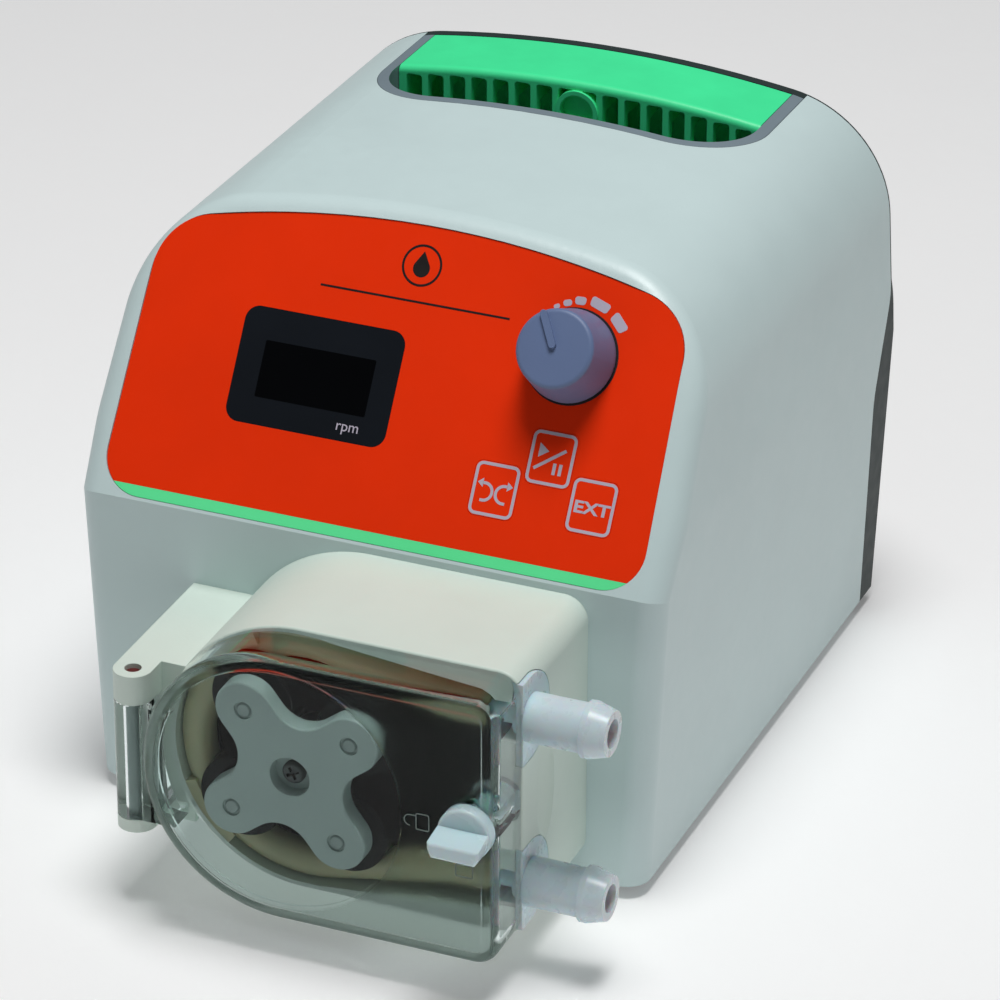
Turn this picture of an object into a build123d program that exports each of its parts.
from build123d import *
import os
from math import acos, atan2, cos, degrees, hypot, radians, sin, tan

# Bench-top peristaltic pump drive with a hinged-cover pump head.
# Millimetres, +Z up, +X to the right of someone facing the control panel, front towards -Y.
# The origin is on the bench, at the centre of the overall footprint.

# ---- body -----------------------------------------------------------------------------------
FRONT = -51.0            # flat lower front face
BODY_DEPTH = 162.0
REAR = FRONT + BODY_DEPTH
REAR_STEP = 4.0          # the upper part of the rear face lies this far forward
REAR_TOP = REAR - REAR_STEP
REAR_BULGE = (78.0, 94.0)  # heights between which the rear face steps forward
BASE_Z = 3.5             # underside of the shell
TOP_Z = 148.5            # middle of the crown, above the front face
FALL = 1.5               # the top falls towards the rear by this angle
HALF_BASE = 71.0         # half width at the underside
HALF_WAIST = 75.0        # half width at the widest line
WAIST_Z = 93.5
HALF_SHOULDER = 72.5
SHOULDER_R = 31.0
WAIST_R = 60.0
CROWN_DROP = 8.3         # how far the crown falls from the middle to the shoulder line
WALL = 2.5
EDGE_R = 6.0             # rounding round the front face and the panel

# ---- seam between the shell and the rear cover, as (depth behind FRONT, height) ---------------
SEAM = [(153.5, -5.0), (150.5, 63.5), (157.4, 90.5), (157.4, 170.0)]
SEAM_R = 22.0
SEAM_GAP = 0.2

# ---- control panel ----------------------------------------------------------------------------
STRIP_Z = 81.3           # height of the panel's lower edge
TILT = 32.8              # panel's lean back from the vertical
PANEL_BOTTOM_HALF = 68.6
PANEL_TOP_HALF = 67.0
PANEL_HEIGHT = 75.4      # up the slope, in the middle
PANEL_SIDE_HEIGHT = 66.0  # where the arched top edge meets the sides
POCKET = 1.3             # depth of the panel's seat in the shell
SKIN = 1.0               # overlay thickness
STRIP_HEIGHT = 2.7
DISPLAY = (-20.65, 35.95, 40.9, 27.7)       # centre x, centre s, width, height
KEYS = {"start_key": (41.1, 27.4), "direction_key": (29.0, 17.8), "ext_key": (53.15, 18.2)}
KEY_SIZE = (11.3, 12.9)
KNOB = (40.5, 51.5)
KNOB_R = 11.0
KNOB_TIP_R = 9.3
KNOB_HEIGHT = 12.5
BOARD_DEPTH = 14.0       # control board behind the panel face

# ---- pump head --------------------------------------------------------------------------------
HEAD_X = 2.2             # rotor axis
HEAD_Z = 44.0
HEAD_R = 34.8            # round left end of the housing
HEAD_RIGHT = 56.8
HEAD_CORNER = 6.0
HEAD_FRONT = FRONT - 39.0
COVER_FRONT = FRONT - 54.0
COVER_WALL = 2.4
TRACK_R = 32.5
ROTOR_FACE = FRONT - 46.0
PIN_CIRCLE = 18.8
PIN_START = 37.5         # angle of the first roller pin
ROLLER_R = 10.4
ROLLER_LENGTH = 12.6
PLATE_THICK = 4.6
LOBE_R = 7.1
SHAFT_R = 4.0
TUBE_R = 4.0
TUBE_BORE = 2.4
TUBE_Y = FRONT - 34.0
PORT_HALF = 21.65        # ports lie this far above and below the rotor axis
PORT_R = 5.9
PORT_TIP = 76.5
PORT_BORE = 3.4
HINGE = (-39.0, FRONT - 42.3)
KNUCKLE_R = 4.7
HINGE_LOW, BARREL_LOW, BARREL_HIGH, HINGE_HIGH = 20.0, 23.5, 53.8, 61.5
LATCH = (50.0, 45.7)

BAY_RIGHT = 50.0         # right end of the bay beside the track
BAY_HALF = 28.0
CHAMBER_FLOOR = FRONT - 22.0
BEARING_FRONT = FRONT - 14.0
DISC_FRONT = ROTOR_FACE + 18.0
AXLE_R = 2.4
AXLE_TIP_R = 1.8         # axle end in the front plate
PORT_HEIGHTS = (HEAD_Z + PORT_HALF, HEAD_Z - PORT_HALF)
FLANGE = 3.0             # thickness of a port's flange
FLANGE_R = 10.6
PORT_BORE_IN = 1.7
SPIGOT_START = 43.0
TUBE_END = 47.0
TUBE_BEND = 38.0         # where the tube turns from the ports towards the track
TUBE_BEND_R = 24.0
SQUASH_HALF = 4.9        # half width of the flattened tube
PIN_R = 2.0              # hinge pin hole
HINGE_INNER = -27.0      # where the hinge block runs into the round end
ARM_REACH = 0.86         # the cover's hinge arm meets its round end at this share of the radius
LATCH_SHAFT_R = 3.0
LATCH_HEIGHT = 9.8
WING_HALF = 6.3
CAM_REACH = 5.5          # the latch cam reaches this far from its axis

# ---- motor ------------------------------------------------------------------------------------
MOTOR_FRONT = FRONT + 12.0
MOTOR_HALF = 28.2
MOTOR_LENGTH = 56.0
MOTOR_BOLTS = [(HEAD_X + i * 23.57, HEAD_Z + j * 23.57) for i in (-1, 1) for j in (-1, 1)]

# ---- power supply -----------------------------------------------------------------------------
POWER_X = (33.0, 55.0)
POWER_FRONT = FRONT + 60.0
POWER_REAR = REAR - 26.0
POWER_RISE = 6.0         # the board's height over the base plate
POWER_POSTS = [(x, y) for x in (36.0, 52.0) for y in (POWER_FRONT + 3, POWER_REAR - 3)]

# ---- handle -----------------------------------------------------------------------------------
RECESS_HALF = 51.2
RECESS_FRONT = FRONT + 109.0
RECESS_FLOOR = 115.5
LINER = 1.8              # floor thickness of the recess tray
LINER_WALL = 3.0
HANDLE_FRONT = FRONT + 132.0
SLOT_COUNT = 16
SLOT_PITCH = 5.85
SLOT_HEIGHT = 9.4
LIP_DEPTH = 2.3          # solid lip above the slots
LIP_R = 1.6
HANDLE_POST = 15.0       # screw post behind the handle's front face
RECESS_CORNER = 21.0

# ---- fasteners and fittings, as (x, y), (x, z) or (x, s) places --------------------------------
BASE_THICK = 2.0
FEET = [(x, y) for x in (-56, 56) for y in (FRONT + 16, REAR - 22)]
BASE_SCREWS = [(x, y) for x in (-60, 60) for y in (FRONT + 34, REAR - 40)]
BRACKET_SCREWS = [(HEAD_X + x, MOTOR_FRONT - 5.5) for x in (-30, 30)]
REAR_SCREWS = [(x, z) for x in (-62, 62) for z in (20, 104)]
HEAD_SCREWS = [(HEAD_X + x, HEAD_Z + z) for x, z in ((-20, 24), (42, 25), (-20, -23), (42, -25))]
BOARD_SCREWS = [(x, s) for x in (-54, 20) for s in (10, 58)]
INLET = (-38.0, 36.0)
INLET_PINS = [(-7, 0), (0, 4), (7, 0)]
SWITCH = (-38.0, 62.0)
ROCKER_TILT = 12.0
ROCKER_PIVOT = 4.5       # pivot behind the rear face
CONNECTOR = (30.0, 36.0)
JACK_HALF = 16.65        # half the spacing of the connector's jackscrews
POINTER_ANGLE = 118.0    # where the knob's pointer rests

CLEAR = 0.15             # gap between neighbouring moulded pieces

PANEL = Plane(
    origin=(0, FRONT + 0.5, STRIP_Z),
    x_dir=(1, 0, 0),
    z_dir=(0, -cos(radians(TILT)), sin(radians(TILT))),
)


# ---- helpers ----------------------------------------------------------------------------------
def slab(face, y_low, y_high):
    """Extrudes an (x, z) face from y_low to y_high."""
    plane = Plane(origin=(0, y_high, 0), x_dir=(1, 0, 0), z_dir=(0, -1, 0))
    return extrude(plane * face, amount=y_high - y_low)


def side_slab(face, x_low, x_high):
    """Extrudes a (y, z) face from x_low to x_high."""
    plane = Plane(origin=(x_low, 0, 0), x_dir=(0, 1, 0), z_dir=(1, 0, 0))
    return extrude(plane * face, amount=x_high - x_low)


def on_panel(face, n_low, n_high):
    """Extrudes an (x, s) face on the panel slope from n_low to n_high, outwards positive."""
    return extrude(PANEL.offset(n_low) * face, amount=n_high - n_low)


def rod(x, z, radius, y_low, y_high):
    return slab(Pos(x, z) * Circle(radius), y_low, y_high)


def box(x, y, z):
    """A box from three (low, high) pairs."""
    size = [high - low for low, high in (x, y, z)]
    middle = [(low + high) / 2 for low, high in (x, y, z)]
    return Pos(*middle) * Box(*size)


def pillar(x, y, radius, z_low, z_high):
    return Pos(x, y, (z_low + z_high) / 2) * Cylinder(radius, z_high - z_low)


def save(name, *solids):
    shape = solids[0] if len(solids) == 1 else Compound(children=list(solids))
    export_step(shape, f"parts/{name}.step")


# ---- body shell -------------------------------------------------------------------------------
def body_section(inset=0.0):
    """Front view of the body above the front face, reaching below the bench."""
    crown_z = TOP_Z - CROWN_DROP
    low = BASE_Z - 12
    right = [(HALF_BASE - 0.6, low), (HALF_WAIST, WAIST_Z), (HALF_SHOULDER, crown_z)]
    left = [(-x, z) for x, z in right]
    edges = Polyline(left[2], left[1], left[0], right[0], right[1], right[2])
    edges += ThreePointArc(right[2], (0, TOP_Z), left[2])
    face = make_face(edges)
    shoulders = face.vertices().filter_by(lambda v: abs(v.Y - crown_z) < 0.1)
    face = fillet(shoulders, SHOULDER_R)
    waist = face.vertices().filter_by(lambda v: abs(v.Y - WAIST_Z) < 0.1)
    face = fillet(waist, WAIST_R)
    return offset(face, -inset) if inset else face


def body_side(inset=0.0):
    """Side lines of the body as a (y, z) face that runs past the top."""
    high, low = 170.0, BASE_Z
    lean = tan(radians(TILT))
    front = FRONT + inset
    knee_z = STRIP_Z + (inset - inset / cos(radians(TILT)) - 0.5) / lean
    corners = [(front, low), (front, knee_z), (front + (high - knee_z) * lean, high)]
    if inset:
        return make_face(Polyline(*corners, (REAR + 1, high), (REAR + 1, low), close=True))
    return make_face(Polyline(*corners, *rear_line(0), close=True))


def rear_line(inset):
    """The rear face in (y, z), from above the top down to the underside."""
    low, high = REAR_BULGE
    top, back = REAR_TOP - inset, REAR - inset
    return [(top, 170), (top, high), (back, low), (back, BASE_Z)]


def rear_face(z):
    """Where the flat rear face lies at a fastener's height."""
    return REAR if z < REAR_BULGE[0] else REAR_TOP


def body_block(inset=0.0):
    """The body as one sharp-edged block, drawn in by inset on its front, top and sides."""
    start = Plane(origin=(0, FRONT - 2, 0), x_dir=(1, 0, 0), z_dir=(0, -1, 0))
    run = Vector(0, cos(radians(FALL)), -sin(radians(FALL)))
    long = extrude(start * body_section(inset), amount=BODY_DEPTH + 10, dir=run)
    return long & side_slab(body_side(inset), -90, 90)


def outer_body():
    """The whole body with its front and panel edges rounded."""
    body = body_block()
    panel_slope = sin(radians(TILT))
    front = body.faces().sort_by(Axis.Y)[0]
    panel = body.faces().filter_by(lambda f: abs(f.normal_at().Z - panel_slope) < 0.001)[0]
    strip_line = front.edges().sort_by(Axis.Z)[-1]
    rounded = [e for e in front.edges() + panel.edges() if e.center().Z > BASE_Z + 1]
    rounded = [e for e in rounded if (e.center() - strip_line.center()).length > 1]
    return fillet(rounded, EDGE_R)


def crown_height(x, y):
    """Height of the crowned top at a place between the shoulders."""
    crown_r = (HALF_SHOULDER**2 + CROWN_DROP**2) / (2 * CROWN_DROP)
    return TOP_Z - x * x / (2 * crown_r) - (y - FRONT) * tan(radians(FALL))


def behind_seam(shift):
    """Everything behind the seam line, moved towards the rear by shift."""
    seam = [(FRONT + depth + shift, z) for depth, z in SEAM]
    face = make_face(Polyline(*seam, (REAR + 30, 170), (REAR + 30, -5), close=True))
    bends = [v for v in face.vertices() if abs(v.Y - SEAM[1][1]) < 0.1 or abs(v.Y - SEAM[2][1]) < 0.1]
    return side_slab(fillet(bends, SEAM_R), -90, 90)


def recess_outline(grow=0.0):
    """Plan of the hand recess, open to the rear."""
    width = 2 * (RECESS_HALF + grow)
    front = RECESS_FRONT - grow
    face = Pos(0, (front + REAR + 20) / 2) * Rectangle(width, REAR + 20 - front)
    corners = face.vertices().sort_by(Axis.Y)[:2]
    return fillet(corners, RECESS_CORNER + grow)


def recess_prism(grow, z_low):
    return extrude(Pos(0, 0, z_low) * recess_outline(grow), amount=170 - z_low)


def panel_outline(grow=0.0):
    """Outline of the control panel in (x, s), its top edge an arc."""
    bottom = (PANEL_BOTTOM_HALF + grow, -grow)
    side = (PANEL_TOP_HALF + grow, PANEL_SIDE_HEIGHT + grow)
    edges = Polyline((-side[0], side[1]), (-bottom[0], bottom[1]), bottom, side)
    edges += ThreePointArc(side, (0, PANEL_HEIGHT + grow), (-side[0], side[1]))
    face = make_face(edges)
    low = face.vertices().sort_by(Axis.Y)[:2]
    face = fillet(low, 10 + grow)
    high = [v for v in face.vertices() if abs(v.Y - side[1]) < 0.1]
    return fillet(high, 15 + grow)


def display_outline(grow=0.0):
    x, s, width, height = DISPLAY
    return Pos(x, s) * RectangleRounded(width + 2 * grow, height + 2 * grow, 3.5 + grow)


def key_outline(name, grow=0.0):
    width, height = KEY_SIZE
    return Pos(*KEYS[name]) * RectangleRounded(width + 2 * grow, height + 2 * grow, 1.8 + grow)


def main_shell(body):
    shell = body - behind_seam(0) - body_block(WALL)
    shell -= recess_prism(0, RECESS_FLOOR + 12)
    shell -= on_panel(panel_outline(CLEAR), -POCKET, 5)
    shell -= on_panel(display_outline(-2.5), -10, 1)
    shell -= on_panel(Pos(*KNOB) * Circle(4.6), -10, 1)
    for name in KEYS:
        shell -= on_panel(key_outline(name, 0.3), -10, 1)
    shell -= rod(HEAD_X, HEAD_Z, 12.5, FRONT - 1, FRONT + 5)
    for x, z in HEAD_SCREWS:
        shell -= rod(x, z, 2.1, FRONT - 1, FRONT + 5)
    for x, z in REAR_SCREWS:
        rear = rear_face(z)
        post = rod(x, z, 3.2, rear - 26, rear - 2.7)
        post += box(wall_reach(x, z), (rear - 26, rear - 17), (z - 1, z + 1))
        shell += post - rod(x, z, 1.3, rear - 20, rear)
    for x, s in BOARD_SCREWS:
        post = on_panel(Pos(x, s) * Circle(2.6), -BOARD_DEPTH, -WALL + 0.5)
        shell += post - on_panel(Pos(x, s) * Circle(1.3), -BOARD_DEPTH - 1, -WALL - 3)
    for x, y in BASE_SCREWS:
        post = pillar(x, y, 3.6, BASE_Z + BASE_THICK + 0.05, BASE_Z + 16)
        post += box(wall_reach(x, 10), (y - 1, y + 1), (BASE_Z + BASE_THICK + 2, BASE_Z + 16))
        shell += post - pillar(x, y, 1.63, 0, BASE_Z + 13)
    return shell


def wall_reach(x, z):
    """Range of x from a screw post to the middle of the nearer side wall."""
    side = 1 if x > 0 else -1
    half = HALF_BASE + (HALF_WAIST - HALF_BASE) * min(z / WAIST_Z, 1)
    return sorted((x + side * 2.0, side * (half - WALL / 2)))


def base_plate():
    half = HALF_BASE - WALL - 0.8
    rear = FRONT + SEAM[0][0] - 4
    plate = box((-half, half), (FRONT + WALL + CLEAR, rear), (BASE_Z, BASE_Z + BASE_THICK))
    for x, y in FEET:
        plate -= pillar(x, y, 1.6, 0, 10)
    for x, y in BASE_SCREWS + BRACKET_SCREWS:
        plate -= pillar(x, y, 1.7, 0, 10)
    for row in range(8):
        for x in (-28, 28):
            slot = Pos(x, FRONT + 84 + row * 7) * SlotOverall(36, 3)
            plate -= extrude(slot, amount=12)
    board_z = BASE_Z + BASE_THICK + POWER_RISE
    for x, y in POWER_POSTS:
        plate += pillar(x, y, 2.5, BASE_Z + BASE_THICK - 0.5, board_z)
        plate += pillar(x, y, 1.2, board_z, board_z + 2.6)
    return plate


def rubber_feet():
    feet = []
    for x, y in FEET:
        foot = pillar(x, y, 7.5, 0, BASE_Z)
        foot = chamfer(foot.edges().sort_by(Axis.Z)[0], 1.0)
        feet.append(foot + pillar(x, y, 1.5, BASE_Z, BASE_Z + BASE_THICK + 1.5))
    return feet


def base_screws():
    return [
        pillar(x, y, 1.6, BASE_Z - 0.2, BASE_Z + 12) + pillar(x, y, 3.0, BASE_Z - 1.6, BASE_Z)
        for x, y in BASE_SCREWS + BRACKET_SCREWS
    ]


# ---- rear -------------------------------------------------------------------------------------
def dsub_outline(width, height, corner):
    """D-shaped outline of a 15-way connector."""
    lean = height * tan(radians(10))
    face = make_face(
        Polyline(
            (-width / 2, height / 2),
            (-width / 2 + lean, -height / 2),
            (width / 2 - lean, -height / 2),
            (width / 2, height / 2),
            close=True,
        )
    )
    return fillet(face.vertices(), corner)


def rear_cover(body):
    ahead = make_face(Polyline((REAR - 60, BASE_Z), (REAR - 60, 170), *rear_line(2.6), close=True))
    ahead = side_slab(ahead, -90, 90) & box((-90, 90), (0, 200), (BASE_Z + 2.5, 200))
    rim = (body & behind_seam(SEAM_GAP)) - (body_block(WALL) & ahead)
    plate = body_block(WALL + CLEAR) & body & box((-90, 90), (REAR - 9, REAR + 1), (BASE_Z, 200))
    cover = rim + (plate - ahead)
    upright = box((-90, 90), (REAR_TOP - 2.8, REAR + 5), (0, 200))
    cover -= recess_prism(0, RECESS_FLOOR - 2.0) - upright
    cover += recess_prism(-CLEAR, RECESS_FLOOR - 2.0) & upright & body
    cover -= slab(Pos(*INLET) * Rectangle(27.6, 20.2), REAR - 10, REAR + 5)
    cover -= slab(Pos(*SWITCH) * Rectangle(19.6, 13.4), REAR - 10, REAR + 5)
    cover -= slab(Pos(*CONNECTOR) * dsub_outline(26.4, 9.8, 2), REAR - 10, REAR + 5)
    for side in (-1, 1):
        cover -= rod(CONNECTOR[0] + side * JACK_HALF, CONNECTOR[1], 2.3, REAR - 10, REAR + 5)
        cover -= rod(INLET[0] + side * 20, INLET[1], 1.6, REAR - 10, REAR + 5)
    for x, z in REAR_SCREWS:
        cover -= rod(x, z, 1.7, rear_face(z) - 12, REAR + 5)
        cover -= rod(x, z, 3.3, rear_face(z) - 1.4, REAR + 5)
    for column in range(11):
        vent = Pos(-30 + 6 * column, 98) * SlotOverall(16, 2.6, rotation=90)
        cover -= slab(vent, REAR - 10, REAR + 5)
    return cover


def rear_screws():
    screws = []
    for x, z in REAR_SCREWS:
        seat = rear_face(z) - 1.4
        screws.append(rod(x, z, 1.25, seat - 12.6, seat) + rod(x, z, 3.0, seat, seat + 1.8))
    return screws


def inlet_housing():
    x, z = INLET
    flange = slab(Pos(x, z) * RectangleRounded(48, 22.5, 4), REAR, REAR + 2.2)
    bodywork = slab(Pos(x, z) * Rectangle(27.2, 19.8), REAR - 22, REAR)
    socket = Pos(x, z) * Rectangle(24.2, 16.2)
    socket = chamfer(socket.vertices().sort_by(Axis.Y)[:2], 4.0)
    housing = flange + bodywork - slab(socket, REAR - 16, REAR + 5)
    for side in (-1, 1):
        housing -= rod(x + side * 20, z, 1.6, REAR - 1, REAR + 5)
    for px, pz in INLET_PINS:
        housing -= slab(Pos(x + px, z + pz) * Rectangle(2.1, 4.1), REAR - 30, REAR)
    return housing


def inlet_pins():
    x, z = INLET
    return [
        slab(Pos(x + px, z + pz) * Rectangle(2.0, 4.0), REAR - 27, REAR - 3)
        for px, pz in INLET_PINS
    ]


def inlet_screws():
    x, z = INLET
    return [
        rod(x + side * 20, z, 1.5, REAR - 7, REAR + 2.2)
        + rod(x + side * 20, z, 2.9, REAR + 2.2, REAR + 3.6)
        for side in (-1, 1)
    ]


def switch_frame():
    x, z = SWITCH
    frame = slab(Pos(x, z) * RectangleRounded(22.5, 15.5, 1.5), REAR, REAR + 1.6)
    frame += slab(Pos(x, z) * Rectangle(19.2, 13.0), REAR - 16, REAR)
    frame -= slab(Pos(x, z) * Rectangle(17.0, 10.8), REAR - 11, REAR + 5)
    return frame


def switch_rocker():
    """Rocker that turns about an upright pivot, with its left side pressed."""
    x, z = SWITCH
    half = [(9.3, 43), (6.5, 12), (3.0, -60)]
    right = [(r * cos(radians(a)), r * sin(radians(a))) for r, a in half]
    left = [(-px, py) for px, py in reversed(right)]
    face = Rot(0, 0, ROCKER_TILT) * make_face(Polyline((0, 4.9), *right, *left, close=True))
    plane = Plane(origin=(x, REAR - ROCKER_PIVOT, z - 5.1), x_dir=(1, 0, 0), z_dir=(0, 0, 1))
    return extrude(plane * face, amount=10.2)


def external_connector():
    x, z = CONNECTOR
    flange = slab(Pos(x, z) * RectangleRounded(39.2, 12.5, 1.5), REAR - 3.6, REAR - 2.65)
    shroud = slab(Pos(x, z) * dsub_outline(26.0, 9.4, 2), REAR - 12, REAR + 3.2)
    shroud -= slab(Pos(x, z) * dsub_outline(24.8, 8.2, 1.6), REAR - 3, REAR + 5)
    shell = flange + shroud
    for side in (-1, 1):
        shell -= rod(x + side * JACK_HALF, z, 1.8, REAR - 20, REAR + 5)
    return shell


def connector_pins():
    x, z = CONNECTOR
    pins = [((i - 3.5) * 2.77, 1.42) for i in range(8)]
    pins += [((i - 3) * 2.77, -1.42) for i in range(7)]
    return [rod(x + px, z + pz, 0.5, REAR - 2.65, REAR + 2.2) for px, pz in pins]


def connector_jackscrews():
    screws = []
    for side in (-1, 1):
        x, z = CONNECTOR[0] + side * JACK_HALF, CONNECTOR[1]
        hexagon = Pos(x, z) * RegularPolygon(2.9, 6)
        screw = slab(hexagon, REAR + 0.1, REAR + 4.6) + rod(x, z, 1.7, REAR - 9, REAR + 0.1)
        screws.append(screw - rod(x, z, 1.42, REAR - 4, REAR + 6))
    return screws


# ---- handle -----------------------------------------------------------------------------------
def recess_liner(body):
    """Grey tray that lines the hand recess and shows as a thin rim round it."""
    tray = recess_prism(-CLEAR, RECESS_FLOOR - LINER)
    tray -= recess_prism(-LINER_WALL, RECESS_FLOOR)
    tray -= box((-90, 90), (REAR_TOP - 3.0, REAR + 40), (90, 200))
    tray = tray & body
    return tray - pillar(0, HANDLE_FRONT + HANDLE_POST, 1.8, 90, 130)


def handle(body):
    """Grip block with two rows of slots below its front lip and a ring boss in the middle."""
    half = RECESS_HALF - LINER_WALL - CLEAR
    grip = box((-half, half), (HANDLE_FRONT, REAR_TOP - 3.2), (RECESS_FLOOR + 0.1, 200)) & body
    lip = grip.edges().filter_by(
        lambda e: e.bounding_box().size.X > 60
        and e.center().Y < HANDLE_FRONT + 0.5
        and e.center().Z > RECESS_FLOOR + 15
    )
    grip = fillet(lip, LIP_R)
    hollow = box((-half + 2.5, half - 2.5), (HANDLE_FRONT + 2.5, REAR_TOP - 6), (100, TOP_Z - 11))
    grip -= hollow
    for column in range(SLOT_COUNT):
        x = (column - (SLOT_COUNT - 1) / 2) * SLOT_PITCH
        top = crown_height(x, HANDLE_FRONT) - LIP_DEPTH - SLOT_HEIGHT / 2
        for z in (top, top - SLOT_HEIGHT - 1.4):
            slot = Pos(x, z) * RectangleRounded(4.2, SLOT_HEIGHT, 0.8)
            grip -= slab(slot, HANDLE_FRONT - 3, HANDLE_FRONT + 10)
    boss_z = crown_height(0, HANDLE_FRONT) - 7.9
    grip += rod(0, boss_z, 5.6, HANDLE_FRONT - 0.6, HANDLE_FRONT + 2.5)
    grip -= rod(0, boss_z, 4.4, HANDLE_FRONT - 5, HANDLE_FRONT + 1.6)
    grip += pillar(0, HANDLE_FRONT + HANDLE_POST, 4.5, RECESS_FLOOR + 0.1, TOP_Z - 10)
    return grip - pillar(0, HANDLE_FRONT + HANDLE_POST, 1.3, 90, TOP_Z - 17)


def handle_screw():
    y = HANDLE_FRONT + HANDLE_POST
    underside = RECESS_FLOOR - LINER
    shank = pillar(0, y, 1.28, underside - 1, TOP_Z - 18)
    return shank + pillar(0, y, 3.2, underside - 2, underside)


# ---- control panel ----------------------------------------------------------------------------
def panel_overlay():
    above_strip = Pos(0, STRIP_HEIGHT + 50) * Rectangle(200, 100)
    overlay = on_panel(panel_outline() & above_strip, -POCKET, -POCKET + SKIN)
    overlay -= on_panel(display_outline(CLEAR / 2), -5, 5)
    overlay -= on_panel(Pos(*KNOB) * Circle(4.2), -5, 5)
    for name in KEYS:
        overlay -= on_panel(key_outline(name, 0.08), -5, 5)
    return overlay


def accent_strip():
    low = Pos(0, STRIP_HEIGHT / 2 - 5) * Rectangle(200, STRIP_HEIGHT + 10 - 0.06)
    return on_panel(panel_outline() & low, -POCKET, -POCKET + SKIN)


def display_window():
    front = on_panel(display_outline(), -POCKET, -POCKET + SKIN)
    return front + on_panel(display_outline(-2.7), -POCKET - 2.2, -POCKET)


def display_module():
    x, s = DISPLAY[:2]
    glass = on_panel(Pos(x, s) * Rectangle(34, 21), -POCKET - 4.2, -POCKET - 2.4)
    return glass + on_panel(Pos(x, s) * Rectangle(38, 26), -BOARD_DEPTH + 0.1, -POCKET - 4.2)


def key_cap(name):
    cap = on_panel(key_outline(name), -POCKET, -POCKET + SKIN)
    return cap + on_panel(Pos(*KEYS[name]) * Rectangle(5, 5), -BOARD_DEPTH + 4.5, -POCKET)


def key_switches():
    switches = []
    for x, s in KEYS.values():
        low = -BOARD_DEPTH + 0.1
        base = on_panel(Pos(x, s) * Rectangle(6, 6), low, low + 3.2)
        switches.append(base + on_panel(Pos(x, s) * Circle(1.7), low + 3.2, low + 3.8))
    return switches


def control_board():
    board = on_panel(Pos(0, 34) * RectangleRounded(118, 56, 2), -BOARD_DEPTH - 1.6, -BOARD_DEPTH)
    board -= on_panel(Pos(*KNOB) * Circle(1.5), -BOARD_DEPTH - 3, -BOARD_DEPTH + 1)
    for x, s in BOARD_SCREWS:
        board -= on_panel(Pos(x, s) * Circle(1.6), -BOARD_DEPTH - 3, -BOARD_DEPTH + 1)
    return board


def board_screws():
    return [
        on_panel(Pos(x, s) * Circle(1.25), -BOARD_DEPTH - 1.6, -WALL - 4)
        + on_panel(Pos(x, s) * Circle(2.4), -BOARD_DEPTH - 3.1, -BOARD_DEPTH - 1.6)
        for x, s in BOARD_SCREWS
    ]


def encoder_body():
    low = -BOARD_DEPTH + 0.1
    can = on_panel(Pos(*KNOB) * Rectangle(12, 12), low, low + 6.5)
    can += on_panel(Pos(*KNOB) * Circle(3.5), low + 6.5, -POCKET - 0.4)
    return can - on_panel(Pos(*KNOB) * Circle(3.05), low + 1, 5)


def encoder_shaft():
    shaft = on_panel(Pos(*KNOB) * Circle(3.0), -BOARD_DEPTH + 1.4, KNOB_HEIGHT - 3)
    flat = Pos(KNOB[0], KNOB[1] + 3.4) * Rectangle(8, 3.4)
    return shaft - on_panel(flat, 2, KNOB_HEIGHT)


def speed_knob():
    """Tapered knob with a domed edge and a raised pointer from its middle to its rim."""
    foot, top = 0.2, KNOB_HEIGHT
    profile = make_face(
        Polyline(
            (0, foot), (KNOB_R, foot), (KNOB_R, foot + 1.2), (KNOB_TIP_R, top), (0, top), close=True
        )
    )
    rim = profile.vertices().filter_by(lambda v: v.X > KNOB_TIP_R - 1 and v.Y > top - 0.5)
    profile = fillet(rim, 1.1)
    centre = PANEL.from_local_coords((KNOB[0], KNOB[1], 0))
    axis = Plane(origin=centre, x_dir=PANEL.x_dir, z_dir=-PANEL.y_dir)
    knob = revolve(axis * profile, Axis(axis.origin, PANEL.z_dir), 360)
    pointer = Pos(KNOB_TIP_R * 0.5, 0) * SlotOverall(KNOB_TIP_R, 1.7)
    pointer = Pos(*KNOB) * Rot(0, 0, POINTER_ANGLE) * pointer
    knob += on_panel(pointer, top - 2, top + 0.9)
    bore = Pos(*KNOB) * Circle(3.02)
    flat = Pos(KNOB[0], KNOB[1] + 3.42) * Rectangle(8, 3.4)
    return knob - (on_panel(bore, -1, top - 2.9) - on_panel(flat, 2, top))


# ---- drive ------------------------------------------------------------------------------------
def motor_outline(half=MOTOR_HALF):
    return Pos(HEAD_X, HEAD_Z) * RectangleRounded(2 * half, 2 * half, 5)


def motor_stack():
    middle = slab(motor_outline(), MOTOR_FRONT + 8, MOTOR_FRONT + MOTOR_LENGTH - 10)
    return middle - rod(HEAD_X, HEAD_Z, 14, MOTOR_FRONT - 1, MOTOR_FRONT + MOTOR_LENGTH - 9)


def motor_front_cap():
    cap = slab(motor_outline(), MOTOR_FRONT, MOTOR_FRONT + 8)
    cap += rod(HEAD_X, HEAD_Z, 19.0, MOTOR_FRONT - 1.6, MOTOR_FRONT)
    cap -= rod(HEAD_X, HEAD_Z, SHAFT_R + 0.05, MOTOR_FRONT - 5, MOTOR_FRONT + 9)
    for x, z in MOTOR_BOLTS:
        cap -= rod(x, z, 2.05, MOTOR_FRONT - 1, MOTOR_FRONT + 6)
    return cap


def motor_rear_cap():
    start = MOTOR_FRONT + MOTOR_LENGTH - 10
    cap = slab(motor_outline(), start, start + 10)
    return cap - rod(HEAD_X, HEAD_Z, SHAFT_R + 0.05, start - 1, start + 6)


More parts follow.
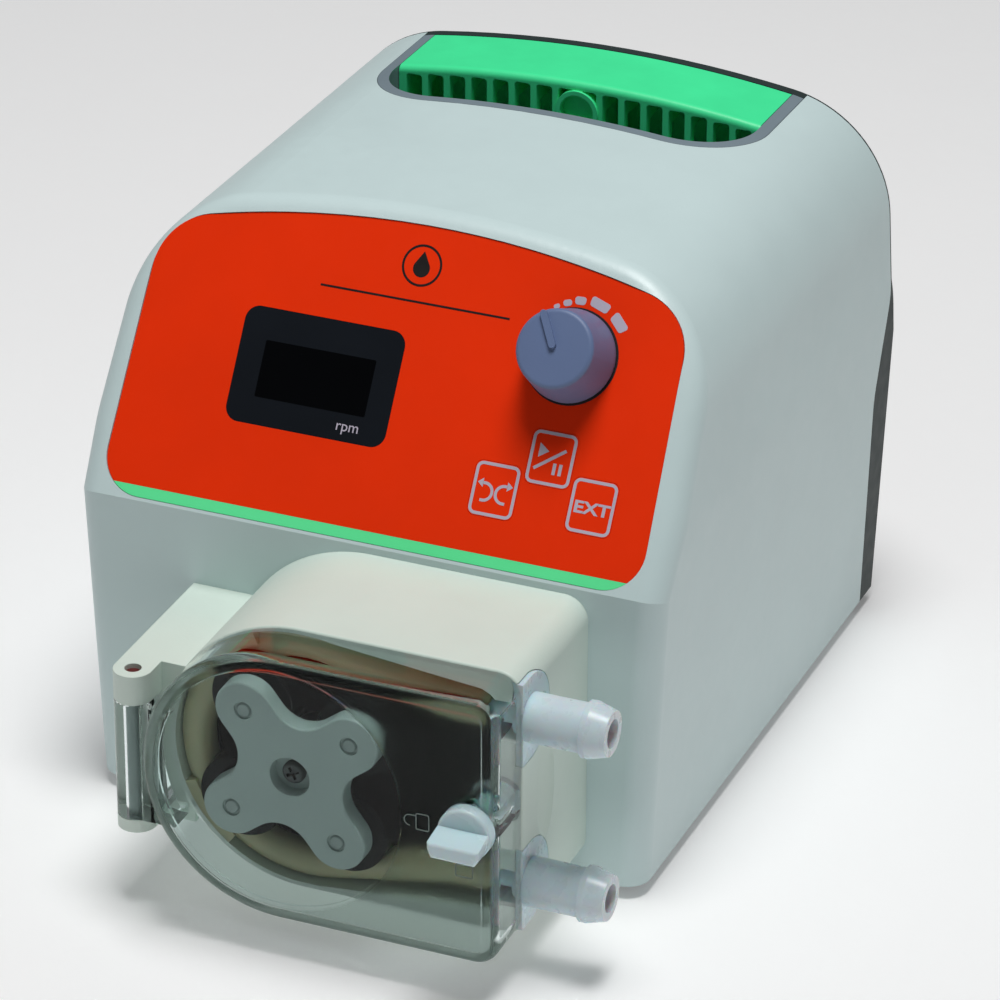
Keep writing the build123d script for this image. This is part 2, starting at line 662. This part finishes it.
def motor_magnet_rotor():
    core = rod(HEAD_X, HEAD_Z, 13.6, MOTOR_FRONT + 8.5, MOTOR_FRONT + MOTOR_LENGTH - 10.5)
    return core - rod(HEAD_X, HEAD_Z, SHAFT_R, MOTOR_FRONT, MOTOR_FRONT + MOTOR_LENGTH)


def motor_bracket():
    """Upright plate behind the front wall with a foot on the base plate."""
    foot_top = BASE_Z + BASE_THICK + 2.5
    plate = slab(
        Pos(HEAD_X, (foot_top + HEAD_Z + 33) / 2) * Rectangle(76, HEAD_Z + 33 - foot_top),
        MOTOR_FRONT - 3,
        MOTOR_FRONT,
    )
    plate += box((HEAD_X - 38, HEAD_X + 38), (MOTOR_FRONT - 8, MOTOR_FRONT), (foot_top - 2.5, foot_top))
    plate -= rod(HEAD_X, HEAD_Z, 19.1, MOTOR_FRONT - 20, MOTOR_FRONT + 1)
    for x, z in MOTOR_BOLTS:
        plate -= rod(x, z, 2.2, MOTOR_FRONT - 20, MOTOR_FRONT + 1)
    for x, y in BRACKET_SCREWS:
        plate -= pillar(x, y, 1.63, 0, 20)
    return plate


def motor_screws():
    return [
        rod(x, z, 2.0, MOTOR_FRONT - 3, MOTOR_FRONT + 5.5)
        + rod(x, z, 3.5, MOTOR_FRONT - 6.2, MOTOR_FRONT - 3)
        for x, z in MOTOR_BOLTS
    ]


def drive_shaft():
    start, end = ROTOR_FACE + 8, MOTOR_FRONT + MOTOR_LENGTH - 4.5
    shaft = rod(HEAD_X, HEAD_Z, SHAFT_R, start, end)
    return shaft - rod(HEAD_X, HEAD_Z, 1.6, start - 1, start + 12)


def shaft_bearing():
    ring = rod(HEAD_X, HEAD_Z, 11.0, BEARING_FRONT, BEARING_FRONT + 7)
    ring -= rod(HEAD_X, HEAD_Z, SHAFT_R + 0.04, BEARING_FRONT - 1, BEARING_FRONT + 8)
    groove = rod(HEAD_X, HEAD_Z, 9.2, BEARING_FRONT - 1, BEARING_FRONT + 0.4)
    groove -= rod(HEAD_X, HEAD_Z, 6.0, BEARING_FRONT - 1, BEARING_FRONT + 0.4)
    return ring - groove


def power_board():
    low = BASE_Z + BASE_THICK + POWER_RISE
    board = box(POWER_X, (POWER_FRONT, POWER_REAR), (low, low + 1.6))
    for x, y in POWER_POSTS:
        board -= pillar(x, y, 1.25, 0, 40)
    return board


def power_components():
    """Transformer, two capacitors and a finned heat sink on the power board."""
    low = BASE_Z + BASE_THICK + POWER_RISE + 1.6
    left, right = POWER_X[0] + 1, POWER_X[1] - 1
    caps = [pillar(left + 5 + 10.5 * i, POWER_FRONT + 12, 4.8, low, low + 24) for i in range(2)]
    transformer = box((left, right), (POWER_FRONT + 24, POWER_FRONT + 48), (low, low + 22))
    sink = box((left, right), (POWER_FRONT + 56, POWER_FRONT + 59), (low, low + 26))
    for i in range(4):
        fin = left + (right - left - 2) * i / 3
        sink += box((fin, fin + 2), (POWER_FRONT + 59, POWER_FRONT + 66), (low, low + 26))
    return [transformer, *caps, sink]


# ---- pump head --------------------------------------------------------------------------------
def head_outline(grow=0.0):
    """D shape: half round on the left, square with rounded corners on the right."""
    radius = HEAD_R + grow
    right = HEAD_RIGHT + grow
    face = Pos(HEAD_X, HEAD_Z) * Circle(radius)
    face += Pos((HEAD_X + right) / 2, HEAD_Z) * Rectangle(right - HEAD_X, 2 * radius)
    return fillet(face.vertices().sort_by(Axis.X)[-2:], HEAD_CORNER + grow)


def chamber_outline():
    """Round track for the tube, opening into a bay that narrows towards the ports."""
    high = [(HEAD_X, HEAD_Z + TRACK_R), (BAY_RIGHT, HEAD_Z + BAY_HALF)]
    low = [(BAY_RIGHT, HEAD_Z - BAY_HALF), (HEAD_X, HEAD_Z - TRACK_R)]
    bay = make_face(Polyline(*high, *low, close=True))
    bay = fillet(bay.vertices().sort_by(Axis.X)[-2:], 4)
    return Pos(HEAD_X, HEAD_Z) * Circle(TRACK_R) + bay


def port_seat(z, radius, x_low, x_high, front):
    """Block round a port's axis, cut off flat at the front."""
    face = Pos(TUBE_Y, z) * Circle(radius)
    face += Pos((front + TUBE_Y) / 2, z) * Rectangle(TUBE_Y - front, 2 * radius)
    face &= Pos(front + 50, z) * Rectangle(100, 100)
    return side_slab(face, x_low, x_high)


def hinge_ear(z_low, z_high):
    """Part of the hinge block between two heights, round about the hinge pin."""
    x, y = HINGE
    ear = pillar(x, y, KNUCKLE_R, z_low, z_high)
    return ear + box((x - KNUCKLE_R, x + KNUCKLE_R), (y, FRONT - 30), (z_low, z_high))


def head_housing():
    housing = slab(head_outline(), HEAD_FRONT, FRONT)
    outer = housing.faces().filter_by(lambda f: f.normal_at().Y < -0.9)[0]
    housing = fillet(outer.edges(), 0.6)
    x, y = HINGE
    block = box((x - KNUCKLE_R, HINGE_INNER), (y + KNUCKLE_R + 0.5, FRONT), (HINGE_LOW, HINGE_HIGH))
    ears = hinge_ear(HINGE_LOW, BARREL_LOW - 0.2) + hinge_ear(BARREL_HIGH + 0.2, HINGE_HIGH)
    housing += block + ears
    housing -= pillar(x, y, PIN_R, 0, 80)
    housing -= slab(chamber_outline(), HEAD_FRONT - 10, CHAMBER_FLOOR)
    hollow = slab(head_outline(-3.0), CHAMBER_FLOOR + 4, FRONT + 1)
    hollow -= rod(HEAD_X, HEAD_Z, 15.0, CHAMBER_FLOOR, FRONT + 1)
    for sx, sz in HEAD_SCREWS:
        hollow -= rod(sx, sz, 4.0, CHAMBER_FLOOR, FRONT + 1)
    housing -= hollow
    housing -= rod(HEAD_X, HEAD_Z, SHAFT_R + 1.5, HEAD_FRONT, FRONT + 5)
    housing -= rod(HEAD_X, HEAD_Z, 11.0, BEARING_FRONT, FRONT + 5)
    for z in PORT_HEIGHTS:
        step = HEAD_RIGHT - FLANGE - CLEAR
        housing -= port_seat(z, FLANGE_R + CLEAR, step, HEAD_RIGHT + 5, HEAD_FRONT - 1)
        housing -= port_seat(z, 4.8, BAY_RIGHT - 1, HEAD_RIGHT, HEAD_FRONT - 1)
    housing -= rod(*LATCH, CAM_REACH + 0.5, HEAD_FRONT - 10, HEAD_FRONT + 4.8)
    dimple = scale(Sphere(1), by=(2.6, 5.5, 14))
    housing -= Pos(HEAD_RIGHT + 0.6, TUBE_Y + 8.5, HEAD_Z - 1) * dimple
    for sx, sz in HEAD_SCREWS:
        housing -= rod(sx, sz, 1.53, FRONT - 12, FRONT + 1)
    return housing


def chamber_liner():
    """Black wear plate on the floor of the head's chamber."""
    liner = slab(offset(chamber_outline(), -0.2), CHAMBER_FLOOR - 1.2, CHAMBER_FLOOR)
    return liner - rod(HEAD_X, HEAD_Z, SHAFT_R + 1.5, HEAD_FRONT, FRONT)


def head_screws():
    rear = FRONT + WALL
    return [
        rod(x, z, 1.5, FRONT - 10, rear) + rod(x, z, 3.0, rear, rear + 2.6) for x, z in HEAD_SCREWS
    ]


def port_fitting(z):
    """Hose barb on a U-shaped flange, with a spigot inwards for the pump tube."""
    profile = make_face(
        Polyline(
            (SPIGOT_START, PORT_BORE_IN),
            (SPIGOT_START, TUBE_BORE - 0.05),
            (HEAD_RIGHT - FLANGE - 1.2, TUBE_BORE - 0.05),
            (HEAD_RIGHT - FLANGE - 1.2, 4.4),
            (HEAD_RIGHT, 4.4),
            (HEAD_RIGHT, PORT_R),
            (PORT_TIP - 6.2, PORT_R),
            (PORT_TIP - 6.0, PORT_R + 0.85),
            (PORT_TIP - 4.6, PORT_R + 0.85),
            (PORT_TIP, PORT_R - 0.5),
            (PORT_TIP, PORT_BORE),
            (HEAD_RIGHT, PORT_BORE),
            (HEAD_RIGHT - 3, PORT_BORE_IN),
            close=True,
        )
    )
    turned = revolve(Plane.XY * profile, Axis.X, 360)
    flange = port_seat(z, FLANGE_R, HEAD_RIGHT - FLANGE, HEAD_RIGHT, HEAD_FRONT)
    flange -= Pos(HEAD_RIGHT, TUBE_Y, z) * Rot(0, 90, 0) * Cylinder(3.9, 40)
    return flange + Pos(0, TUBE_Y, z) * turned


def polar(radius, angle):
    """Point at a radius and angle about the rotor axis, in (x, z)."""
    return (HEAD_X + radius * cos(radians(angle)), HEAD_Z + radius * sin(radians(angle)))


def roller_centres():
    return [polar(PIN_CIRCLE, PIN_START + 90 * i) for i in range(4)]


def tube_path():
    """From the upper port round the left of the track to the lower port."""
    middle = TRACK_R - TUBE_R - 0.15
    reach = hypot(TUBE_BEND - HEAD_X, PORT_HALF)
    touch = degrees(atan2(PORT_HALF, TUBE_BEND - HEAD_X) + acos(middle / reach))
    plane = Plane(origin=(0, TUBE_Y, 0), x_dir=(1, 0, 0), z_dir=(0, -1, 0))
    ends = []
    for side, port_z in zip((1, -1), PORT_HEIGHTS):
        bend, tangent = (TUBE_BEND, port_z), polar(middle, side * touch)
        run = FilletPolyline((TUBE_END, port_z), bend, tangent, radius=TUBE_BEND_R)
        ends.append((run, tangent))
    arc = ThreePointArc(ends[0][1], polar(middle, 180), ends[1][1])
    return plane * (ends[0][0] + arc + ends[1][0])


def pump_tube():
    """Hose pressed flat against the track by the rollers on its side."""
    path = tube_path()
    section = Plane(origin=(TUBE_END, TUBE_Y, PORT_HEIGHTS[0]), z_dir=(-1, 0, 0))
    tube = sweep(section * Circle(TUBE_R), path=path)
    bore = sweep(section * Circle(TUBE_BORE), path=path)
    front, rear = TUBE_Y - SQUASH_HALF, TUBE_Y + SQUASH_HALF
    reach = PIN_CIRCLE + ROLLER_R + 0.3
    for turn, (x, z) in enumerate(roller_centres()):
        tube -= rod(x, z, ROLLER_R + 0.3, front - 1, rear + 1)
        if turn > 0:
            bore -= rod(x, z, ROLLER_R + 3.6, front - 1, rear + 1)
        if turn in (1, 2):
            band = rod(HEAD_X, HEAD_Z, TRACK_R - 0.15, front, rear)
            band -= rod(HEAD_X, HEAD_Z, reach, front, rear)
            tube += band & rod(*polar(TRACK_R, PIN_START + 90 * turn), 9.0, front, rear)
    return tube - bore


def hinge_pin():
    pin = pillar(*HINGE, PIN_R - 0.02, HINGE_LOW + 0.4, HINGE_HIGH - 1.6)
    return fillet(pin.edges(), 0.5)


# ---- rotor ------------------------------------------------------------------------------------
def rotor_hub():
    hub = rod(HEAD_X, HEAD_Z, 7.4, ROTOR_FACE + PLATE_THICK, DISC_FRONT)
    hub -= rod(HEAD_X, HEAD_Z, SHAFT_R, ROTOR_FACE + 8, DISC_FRONT + 1)
    return hub - rod(HEAD_X, HEAD_Z, 1.7, ROTOR_FACE, ROTOR_FACE + 9)


def rotor_back_disc():
    disc = rod(HEAD_X, HEAD_Z, 26.5, DISC_FRONT, DISC_FRONT + 3)
    disc -= rod(HEAD_X, HEAD_Z, SHAFT_R, DISC_FRONT - 1, DISC_FRONT + 4)
    for x, z in roller_centres():
        disc -= rod(x, z, AXLE_R, DISC_FRONT - 1, DISC_FRONT + 4)
    return disc


def rotor_front_plate():
    """Four-armed plate that carries the front ends of the roller axles."""
    face = Sketch()
    for angle in (PIN_START, PIN_START + 90):
        face += Pos(HEAD_X, HEAD_Z) * Rot(0, 0, angle) * SlotCenterToCenter(2 * PIN_CIRCLE, 2 * LOBE_R)
    inner = [v for v in face.vertices() if hypot(v.X - HEAD_X, v.Y - HEAD_Z) < 1.6 * LOBE_R]
    face = fillet(inner, 8.0)
    plate = slab(face, ROTOR_FACE, ROTOR_FACE + PLATE_THICK)
    plate = fillet(plate.faces().sort_by(Axis.Y)[0].edges(), 0.5)
    plate -= rod(HEAD_X, HEAD_Z, 5.0, ROTOR_FACE - 1, ROTOR_FACE + 3.4)
    plate -= rod(HEAD_X, HEAD_Z, 1.7, ROTOR_FACE - 1, ROTOR_FACE + 10)
    for x, z in roller_centres():
        plate -= rod(x, z, AXLE_TIP_R, ROTOR_FACE - 1, ROTOR_FACE + 10)
        plate -= rod(x, z, AXLE_TIP_R + 0.45, ROTOR_FACE - 1, ROTOR_FACE + 0.6)
    return plate


def roller_axles():
    axles = []
    for x, z in roller_centres():
        axle = rod(x, z, AXLE_TIP_R, ROTOR_FACE + 0.15, DISC_FRONT)
        axle = chamfer(axle.edges().sort_by(Axis.Y)[0], 0.35)
        axles.append(axle + rod(x, z, AXLE_R, ROTOR_FACE + PLATE_THICK, DISC_FRONT + 3))
    return axles


def rotor_screw():
    """Cross-head screw in the middle of the front plate."""
    head_front = ROTOR_FACE + 1.6
    screw = rod(HEAD_X, HEAD_Z, 2.8, head_front, ROTOR_FACE + 3.4)
    screw = fillet(screw.edges().sort_by(Axis.Y)[0], 0.8)
    for angle in (28, 118):
        cross = Pos(HEAD_X, HEAD_Z) * Rot(0, 0, angle) * Rectangle(3.4, 0.8)
        screw -= slab(cross, head_front - 1, head_front + 1.1)
    return screw + rod(HEAD_X, HEAD_Z, 1.58, ROTOR_FACE + 3.4, ROTOR_FACE + 18)


def roller(index):
    x, z = roller_centres()[index]
    front = ROTOR_FACE + PLATE_THICK + 0.4
    body = rod(x, z, ROLLER_R, front, front + ROLLER_LENGTH)
    body = fillet(body.edges(), 0.8)
    return body - rod(x, z, AXLE_R + 0.05, front - 1, front + ROLLER_LENGTH + 1)


# ---- cover ------------------------------------------------------------------------------------
def head_cover():
    """Clear cover: a shallow box over the D outline, with a hinge arm and a latch boss."""
    rear = HEAD_FRONT - 0.25
    cover = slab(head_outline(-0.3), COVER_FRONT, rear)
    front = cover.faces().sort_by(Axis.Y)[0]
    cover = fillet(front.edges(), 3.0)
    cover -= slab(head_outline(-0.3 - COVER_WALL), COVER_FRONT + 2.6, rear + 1)
    cover -= slab(head_outline(-0.3 - 3.6), COVER_FRONT - 1, COVER_FRONT + 0.5)
    cover -= rod(HEAD_X, HEAD_Z, 30.5, COVER_FRONT + 2.0, COVER_FRONT + 3)
    cover += rod(*LATCH, 6.5, COVER_FRONT, COVER_FRONT + 3)
    cover += rod(*LATCH, 5.4, COVER_FRONT + 1, HEAD_FRONT - 1.2)
    x, y = HINGE
    arm_front = y - KNUCKLE_R + 0.6
    barrel = pillar(x, y, KNUCKLE_R, BARREL_LOW, BARREL_HIGH)
    arm = box((x, HEAD_X - HEAD_R * ARM_REACH), (arm_front, arm_front + 3.2), (BARREL_LOW, BARREL_HIGH))
    arm += box((x, HEAD_X - HEAD_R * ARM_REACH), (arm_front, rear), (BARREL_LOW, BARREL_LOW + 2.6))
    arm += box((x, HEAD_X - HEAD_R * ARM_REACH), (arm_front, rear), (BARREL_HIGH - 2.6, BARREL_HIGH))
    hollow = slab(head_outline(-0.3 - COVER_WALL + 0.1), COVER_FRONT + 2.6, rear + 1)
    cover += barrel + (arm - hollow)
    cover -= pillar(x, y, PIN_R + 0.05, 0, 80)
    return cover - rod(*LATCH, LATCH_SHAFT_R + 0.08, -200, 0)


def latch_knob():
    """Round base with a wing that thins to its tip, on a shaft that runs back through the boss."""
    x, z = LATCH
    base_rear = COVER_FRONT - 0.1
    knob = rod(x, z, 6.5, base_rear - 3.4, base_rear)
    knob = fillet(knob.edges().sort_by(Axis.Y)[0], 0.8)
    root, tip = base_rear - 3, base_rear - LATCH_HEIGHT
    wedge = Polyline((root, z - 5.9), (root, z + 1.6), (tip, z + 0.3), (tip, z - 3.2), close=True)
    wing = side_slab(make_face(wedge), x - WING_HALF, x + WING_HALF)
    wing &= rod(x, z, WING_HALF, tip - 1, base_rear)
    wing = fillet(wing.faces().sort_by(Axis.Y)[0].edges(), 0.8)
    return knob + wing + rod(x, z, LATCH_SHAFT_R, base_rear - 2, HEAD_FRONT + 0.4)


def latch_cam():
    x, z = LATCH
    cam = Pos(x, z) * Circle(4.4) + Pos(x + CAM_REACH - 3, z) * RectangleRounded(6, 5.2, 1.5)
    cam = slab(cam, HEAD_FRONT + 0.4, HEAD_FRONT + 3.2)
    return cam - rod(x, z, 1.3, HEAD_FRONT, HEAD_FRONT + 5)


def latch_screw():
    x, z = LATCH
    cam_rear = HEAD_FRONT + 3.2
    return rod(x, z, 2.6, cam_rear, cam_rear + 1.2) + rod(x, z, 1.28, cam_rear - 2.8, cam_rear)


# ---- build every piece ------------------------------------------------------------------------
def main():
    os.makedirs("parts", exist_ok=True)
    body = outer_body()
    save("main_shell", main_shell(body))
    save("base_plate", base_plate())
    save("rubber_feet", *rubber_feet())
    save("base_screws", *base_screws())
    save("rear_cover", rear_cover(body))
    save("rear_screws", *rear_screws())
    save("power_inlet", inlet_housing())
    save("inlet_pins", *inlet_pins())
    save("inlet_screws", *inlet_screws())
    save("switch_frame", switch_frame())
    save("switch_rocker", switch_rocker())
    save("external_connector", external_connector())
    save("connector_pins", *connector_pins())
    save("connector_jackscrews", *connector_jackscrews())
    save("recess_liner", recess_liner(body))
    save("carry_handle", handle(body))
    save("handle_screw", handle_screw())
    save("panel_overlay", panel_overlay())
    save("accent_strip", accent_strip())
    save("display_window", display_window())
    save("display_module", display_module())
    for name in KEYS:
        save(name, key_cap(name))
    save("key_switches", *key_switches())
    save("control_board", control_board())
    save("board_screws", *board_screws())
    save("encoder_body", encoder_body())
    save("encoder_shaft", encoder_shaft())
    save("speed_knob", speed_knob())
    save("motor_stack", motor_stack())
    save("motor_front_cap", motor_front_cap())
    save("motor_rear_cap", motor_rear_cap())
    save("motor_magnet_rotor", motor_magnet_rotor())
    save("motor_bracket", motor_bracket())
    save("motor_screws", *motor_screws())
    save("drive_shaft", drive_shaft())
    save("shaft_bearing", shaft_bearing())
    save("power_board", power_board())
    save("power_components", *power_components())
    save("head_housing", head_housing())
    save("chamber_liner", chamber_liner())
    save("head_screws", *head_screws())
    save("upper_port", port_fitting(PORT_HEIGHTS[0]))
    save("lower_port", port_fitting(PORT_HEIGHTS[1]))
    save("pump_tube", pump_tube())
    save("hinge_pin", hinge_pin())
    save("rotor_hub", rotor_hub())
    save("rotor_back_disc", rotor_back_disc())
    save("rotor_front_plate", rotor_front_plate())
    save("roller_axles", *roller_axles())
    save("rotor_screw", rotor_screw())
    for index in range(4):
        save(f"roller_{index + 1}", roller(index))
    save("head_cover", head_cover())
    save("latch_knob", latch_knob())
    save("latch_cam", latch_cam())
    save("latch_screw", latch_screw())


main()
